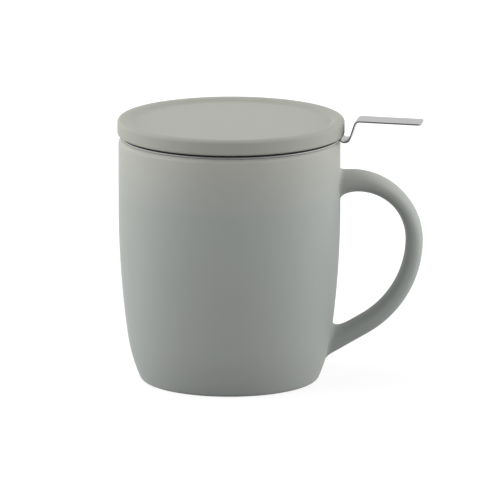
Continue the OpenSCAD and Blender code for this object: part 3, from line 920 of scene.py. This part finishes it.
def glaze_material(name, s, bare_foot=False):
    """Matte sage glaze: cloudy, faintly speckled, with a fine orange-peel skin.

    The mug's rim is paler with painted light from above. Lower down the glaze turns cooler and
    darker, partly as real glaze and partly as painted shade. The lid, above the flange, has its
    own tone. A bare foot shows the clay up to a ragged edge.
    """
    material, tree, shader = new_material(name)
    f = s.finish
    here = place(tree)
    height = along(tree, here, "Z")
    on_lid = ramp(tree, height, FLANGE_TOP_Z, FLANGE_TOP_Z + LID_BLUR)
    # Painted light and shade: paler at the rim, then cooler and darker below it, partly real glaze
    low = ramp(tree, height, RIM_Z - TURN_START * f.glaze_and_shade_turn, RIM_Z - f.glaze_and_shade_turn)
    tone = mixed(tree, low, mixed(tree, on_lid, f.rim_glaze_painted_light, f.glaze), f.deep_glaze_and_painted_shade)
    clouds = ramp(tree, noise(tree, here, GLAZE_CLOUDS, 3.0), 0.3, 0.7, 0.0, 0.35)
    tone = mixed(tree, clouds, tone, shaded(CLOUD_TONE, f.glaze))
    specks = ramp(tree, noise(tree, here, GLAZE_SPECKS, 1.0), 0.66, 0.74, 0.0, 0.16)
    tone = mixed(tree, specks, tone, shaded(SPECK_TONE, f.glaze))
    rough = ramp(tree, noise(tree, here, GLAZE_SHEEN), 0.2, 0.8,
                 f.glaze_rough - 0.04, f.glaze_rough + 0.05)
    if bare_foot:
        edge = maths(tree, "MULTIPLY_ADD", noise(tree, here, FOOT_EDGE, 3.0), CLAY_RAGGED, CLAY_HEIGHT)
        clay = ramp(tree, maths(tree, "SUBTRACT", height, edge), 0.0, CLAY_BLUR, 1.0, 0.0)
        grit = mixed(tree, noise(tree, here, CLAY_GRIT), f.clay, shaded(GRIT_TONE, f.clay))
        tone = mixed(tree, clay, tone, grit)
        rough = maths(tree, "MULTIPLY_ADD", clay, 0.4, rough, clamp=True)
    peel = bumps(tree, noise(tree, here, GLAZE_PEEL, roughness=0.45), PEEL_HEIGHT, 0.6)
    fill(tree, shader, {"Base Color": tone, "Roughness": rough, "Normal": peel})
    return material


def steel_material(name, s, grain, turn=0.0, sheared_at=None):
    """Satin steel with fine grinding lines.

    A strip that is cut off at a distance from its middle is rougher there, and darker along its edges
    with painted shade.
    """
    material, tree, shader = new_material(name)
    f = s.finish
    lines = noise(tree, place(tree, grain, turn), STEEL_LINES, roughness=0.65)
    patches = ramp(tree, noise(tree, place(tree), STEEL_PATCHES), 0.3, 0.7)
    tone = mixed(tree, patches, f.steel, shaded(PATCH_TONE, f.steel))
    tone = mixed(tree, ramp(tree, lines, 0.4, 0.75, 0.0, 0.35), tone, shaded(LINE_TONE, f.steel))
    rough = ramp(tree, lines, 0.2, 0.8, f.steel_rough - 0.05, f.steel_rough + 0.08)
    if sheared_at is not None:
        strip = place(tree, turn=turn, shift=(0, -math.sin(turn) * s.infuser.slip, 0))
        away = maths(tree, "ABSOLUTE", along(tree, strip, "Y"))
        # Painted shade: the strip's edges are darkened where they fall in shade; only the extra
        # roughness is the steel's own
        cut = ramp(tree, away, sheared_at - CUT_SHADE_START, sheared_at - CUT_SHADE_END)
        tone = mixed(tree, cut, tone, shaded(CUT_SHADE_TONE, f.steel))
        rough = maths(tree, "MULTIPLY_ADD", cut, 0.1, rough)
    fill(tree, shader, {"Base Color": tone, "Roughness": rough, "Metallic": 1.0,
                        "Normal": bumps(tree, lines, LINE_HEIGHT, 0.5)})
    return material


def weld_material(name, s):
    """Spot welds: steel dulled and browned by heat."""
    material, tree, shader = new_material(name)
    tone = s.finish.weld
    patches = noise(tree, place(tree), WELD_PATCHES, 3.0)
    fill(tree, shader, {"Base Color": mixed(tree, patches, tone, shaded(HEAT_TONE, tone)),
                        "Metallic": 1.0, "Roughness": 0.42,
                        "Normal": bumps(tree, patches, WELD_HEIGHT)})
    return material


def coated(thing, material):
    """Gives a piece its finish."""
    thing.data.materials.clear()
    thing.data.materials.append(material)


def finished(thing, material, body, cad_node):
    """Gives a new piece its finish, its slot and its body, and hides the CAD node that it stands for.
    """
    coated(thing, material)
    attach(thing, body)
    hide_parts(cad_node)


# ---------------- operators

class TEA_OT_mug_shell(bpy.types.Operator):
    """Turn the mug's body from its outline"""
    bl_idname = "tea_mug.shell"
    bl_label = "Mug body"

    def execute(self, context):
        s = settings()
        thing = turned("mug_shell", mug_outline(s.mug))
        finished(thing, glaze_material("mug_glaze", s, bare_foot=True), "mug", "mug_body")
        return {"FINISHED"}


class TEA_OT_handle(bpy.types.Operator):
    """Sweep the strap handle and blend it into the wall"""
    bl_idname = "tea_mug.handle"
    bl_label = "Handle"

    def execute(self, context):
        s = settings()
        thing = mesh_object("handle_strap", *capped(handle_points(s)))
        finished(thing, glaze_material("handle_glaze", s), "mug", "mug_handle")
        return {"FINISHED"}


class TEA_OT_flange(bpy.types.Operator):
    """Turn the infuser's flange and collar"""
    bl_idname = "tea_mug.flange"
    bl_label = "Infuser flange"

    def execute(self, context):
        s = settings()
        thing = turned("flange_ring", flange_outline(s), closed=True, slip=s.infuser.slip)
        steel = steel_material("flange_steel", s, FLANGE_GRAIN)
        finished(thing, steel, "infuser", "infuser_flange")
        return {"FINISHED"}


class TEA_OT_tube(bpy.types.Operator):
    """Roll the perforated tube of the basket, with the lap of its seam"""
    bl_idname = "tea_mug.tube"
    bl_label = "Basket tube"

    def execute(self, context):
        s = settings()
        points, groups = tube_points(s)
        lap, lap_groups = capped(lap_points(s))
        walls_and_lap = range(len(groups) - 1, len(groups) + len(lap_groups))
        groups = [*groups, *[g + len(points) for g in lap_groups]]
        points = hung(np.concatenate([points, lap]), s)
        thing = mesh_object("basket_tube", points, groups, walls_and_lap)
        steel = steel_material("tube_steel", s, TUBE_GRAIN)
        finished(thing, steel, "infuser", "infuser_wall")
        return {"FINISHED"}


class TEA_OT_pan(bpy.types.Operator):
    """Press the perforated pan that closes the basket"""
    bl_idname = "tea_mug.pan"
    bl_label = "Basket pan"

    def execute(self, context):
        s = settings()
        points, groups = pan_points(s)
        walls = (len(groups) - 1,)
        thing = mesh_object("basket_pan", hung(points, s), groups, walls)
        steel = steel_material("pan_steel", s, PAN_GRAIN)
        finished(thing, steel, "infuser", "infuser_floor")
        return {"FINISHED"}


class TEA_OT_tab(bpy.types.Operator):
    """Bend the lifting tab"""
    bl_idname = "tea_mug.tab"
    bl_label = "Lifting tab"

    def execute(self, context):
        s = settings()
        points, groups = capped(tab_points(s))
        ends = (1, 2)
        thing = mesh_object("lifting_tab", hung(points, s), groups, ends)
        steel = steel_material("tab_steel", s, TAB_GRAIN, s.infuser.turn, s.tab.width / 2)
        finished(thing, steel, "infuser", "infuser_tab")
        return {"FINISHED"}


class TEA_OT_welds(bpy.types.Operator):
    """Finish the spot welds of the infuser"""
    bl_idname = "tea_mug.welds"
    bl_label = "Spot welds"

    def execute(self, context):
        material = weld_material("spot_weld", settings())
        for name in ("tab_welds", "collar_welds", "floor_welds"):
            coated(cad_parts[name], material)
        return {"FINISHED"}


class TEA_OT_lid(bpy.types.Operator):
    """Turn the dished lid and its locating ring"""
    bl_idname = "tea_mug.lid"
    bl_label = "Lid"

    def execute(self, context):
        s = settings()
        thing = turned("lid_shell", lid_outline(s), slip=s.infuser.slip)
        finished(thing, glaze_material("lid_glaze", s), "lid", "lid")
        return {"FINISHED"}


WHITE = (1.0, 1.0, 1.0, 1.0)

# Where each lamp hangs, its width and height, and the point that they all face
LEFT_LAMP = ((-0.62, -0.05, 0.42), (1.2, 0.85))
RIGHT_LAMP = ((0.64, -0.1, 0.34), (1.2, 0.6))
BACK_LAMP = ((0.0, 0.3, 0.4), (0.6, 0.4))
LAMP_AIM = (0.0, 0.0, 0.06)

# Y between which the floor before the mug, and the studio as a direction, get dark in a mirror,
# and distances between which the floor around the mug gets white
DARK_FLOOR = (-0.1, -0.4)
DARK_STUDIO = (-0.3, -0.9)
WHITE_FLOOR = (0.1, 0.5)


def soft_lamp(name, place_and_size, power):
    """A wide lamp that isn't mirrored, so that the steel mirrors the even studio."""
    data = bpy.data.lights.new(name, "AREA")
    data.shape = "RECTANGLE"
    data.energy = power
    lamp = bpy.data.objects.new(name, data)
    bpy.context.scene.collection.objects.link(lamp)
    lamp.visible_glossy = False
    lamp.location, (data.size, data.size_y) = place_and_size
    away = np.array(LAMP_AIM) - np.array(place_and_size[0])
    lamp.rotation_euler = (math.acos(-away[2] / np.linalg.norm(away)), 0,
                           math.atan2(away[1], away[0]) - RIGHT)


def mirrored_level(tree, front, level):
    """1, or a lower level towards the front for what is mirrored, as in a studio behind the camera."""
    mirrored = node(tree, "ShaderNodeLightPath").outputs["Is Glossy Ray"]
    return ramp(tree, maths(tree, "MULTIPLY", front, mirrored), 0.0, 1.0, 1.0, level)


def shown_apart(tree, output, bounced, shown):
    """Shows one shader to the camera, in reflections and through glass, and lights with another."""
    path = node(tree, "ShaderNodeLightPath").outputs
    some = maths(tree, "MAXIMUM", path["Is Camera Ray"], path["Is Glossy Ray"])
    direct = maths(tree, "MAXIMUM", some, path["Is Transmission Ray"])
    both = node(tree, "ShaderNodeMixShader",
                {0: direct, 1: bounced.outputs[0], 2: shown.outputs[0]})
    fill(tree, tree.nodes[output], {"Surface": both.outputs[0]})


class TEA_OT_stage(bpy.types.Operator):
    """Lay the floor, hang the lamps and set up the camera"""
    bl_idname = "tea_mug.stage"
    bl_label = "Stage"

    def execute(self, context):
        g = settings().stage
        context.scene.view_settings.view_transform = "Standard"
        self.lay_floor(g)
        self.light_world(context.scene, g)
        soft_lamp("left_lamp", LEFT_LAMP, g.left_power)
        soft_lamp("right_lamp", RIGHT_LAMP, g.right_power)
        soft_lamp("back_lamp", BACK_LAMP, g.back_power)
        self.set_camera(context.scene, g)
        return {"FINISHED"}

    def lay_floor(self, g):
        """A round floor. To the camera it is nearly white and keeps a soft part of the shadow."""
        r = g.floor_radius * np.linspace(0, 1, FLOOR_RINGS + 1)[1:, None] ** 2
        grid = around_axis(r, full_turn(FLOOR_STEPS), 0.0)
        points = np.concatenate([grid.reshape(-1, 3), [[0, 0, 0]]])
        floor = mesh_object("floor", points, [grid_faces(FLOOR_RINGS, FLOOR_STEPS)[:, ::-1],
                                              fan(0, FLOOR_STEPS, FLOOR_RINGS * FLOOR_STEPS)])
        material, tree, shader = new_material("pale_floor")
        tree.nodes.remove(shader)
        here = place(tree)
        level = mirrored_level(tree, ramp(tree, along(tree, here, "Y"), *DARK_FLOOR), g.front_floor)
        away = node(tree, "ShaderNodeVectorMath", {0: here}, operation="LENGTH").outputs["Value"]
        glow = maths(tree, "MULTIPLY", level, ramp(tree, away, *WHITE_FLOOR, g.floor_glow, 1.0))
        white = node(tree, "ShaderNodeEmission", {"Color": WHITE, "Strength": glow})
        shadow, bounce = (node(tree, "ShaderNodeBsdfDiffuse", {"Color": (tone, tone, tone, 1)})
                          for tone in (g.floor_shadow, g.floor_tone))
        shown = node(tree, "ShaderNodeAddShader", {0: white.outputs[0], 1: shadow.outputs[0]})
        shown_apart(tree, "Material Output", bounce, shown)
        material.cycles.emission_sampling = "NONE"
        floor.data.materials.append(material)

    def light_world(self, scene, g):
        """Even light from all around, and plain white to the camera and in reflections."""
        world = bpy.data.worlds.new("studio")
        scene.world = world
        world.use_nodes = True
        tree = world.node_tree
        even = tree.nodes["Background"]
        fill(tree, even, {"Color": WHITE, "Strength": g.ambient})
        toward = along(tree, node(tree, "ShaderNodeTexCoord").outputs["Generated"], "Y")
        level = mirrored_level(tree, ramp(tree, toward, *DARK_STUDIO), g.front_level)
        white = node(tree, "ShaderNodeBackground", {"Color": WHITE, "Strength": level})
        shown_apart(tree, "World Output", even, white)

    def set_camera(self, scene, g):
        """A long lens that looks at the middle of the mug."""
        data = bpy.data.cameras.new("camera")
        data.sensor_width = 36.0
        data.lens = g.lens
        data.clip_end = 100.0
        camera = bpy.data.objects.new("camera", data)
        scene.collection.objects.link(camera)
        camera.location = (g.look_x, -g.distance * math.cos(g.elevation),
                           g.look_z + g.distance * math.sin(g.elevation))
        camera.rotation_euler = (RIGHT - g.elevation, 0, 0)
        scene.camera = camera


# ---------------- panel and running

MAKERS = (TEA_OT_mug_shell, TEA_OT_handle, TEA_OT_flange, TEA_OT_tube, TEA_OT_pan, TEA_OT_tab,
          TEA_OT_welds, TEA_OT_lid, TEA_OT_stage)
GROUPS = (MugSizes, HandleSizes, InfuserSizes, TabSizes, LidSizes, Finishes, StageSettings, TeaMug)


class TEA_PT_panel(bpy.types.Panel):
    """Sizes, colours and makers of the tea mug"""
    bl_idname = "TEA_PT_panel"
    bl_label = "Tea mug"
    bl_space_type = "VIEW_3D"
    bl_region_type = "UI"
    bl_category = "Tea mug"

    def draw(self, context):
        s = context.scene.tea_mug
        for group in (s.mug, s.handle, s.infuser, s.tab, s.lid, s.finish, s.stage):
            box = self.layout.box()
            for key in group.__annotations__:
                box.prop(group, key)
        for maker in MAKERS:
            self.layout.operator(maker.bl_idname)


def register():
    """Registers the settings, the operators and the panel."""
    for kind in (*GROUPS, *MAKERS, TEA_PT_panel):
        bpy.utils.register_class(kind)
    bpy.types.Scene.tea_mug = bpy.props.PointerProperty(type=TeaMug)


def unregister():
    """Takes everything back out."""
    del bpy.types.Scene.tea_mug
    for kind in reversed((*GROUPS, *MAKERS, TEA_PT_panel)):
        bpy.utils.unregister_class(kind)


def main():
    """Registers the settings and makes every piece in order."""
    register()
    for maker in MAKERS:
        group, name = maker.bl_idname.split(".")
        getattr(getattr(bpy.ops, group), name)()


if __name__ == "__main__":
    main()
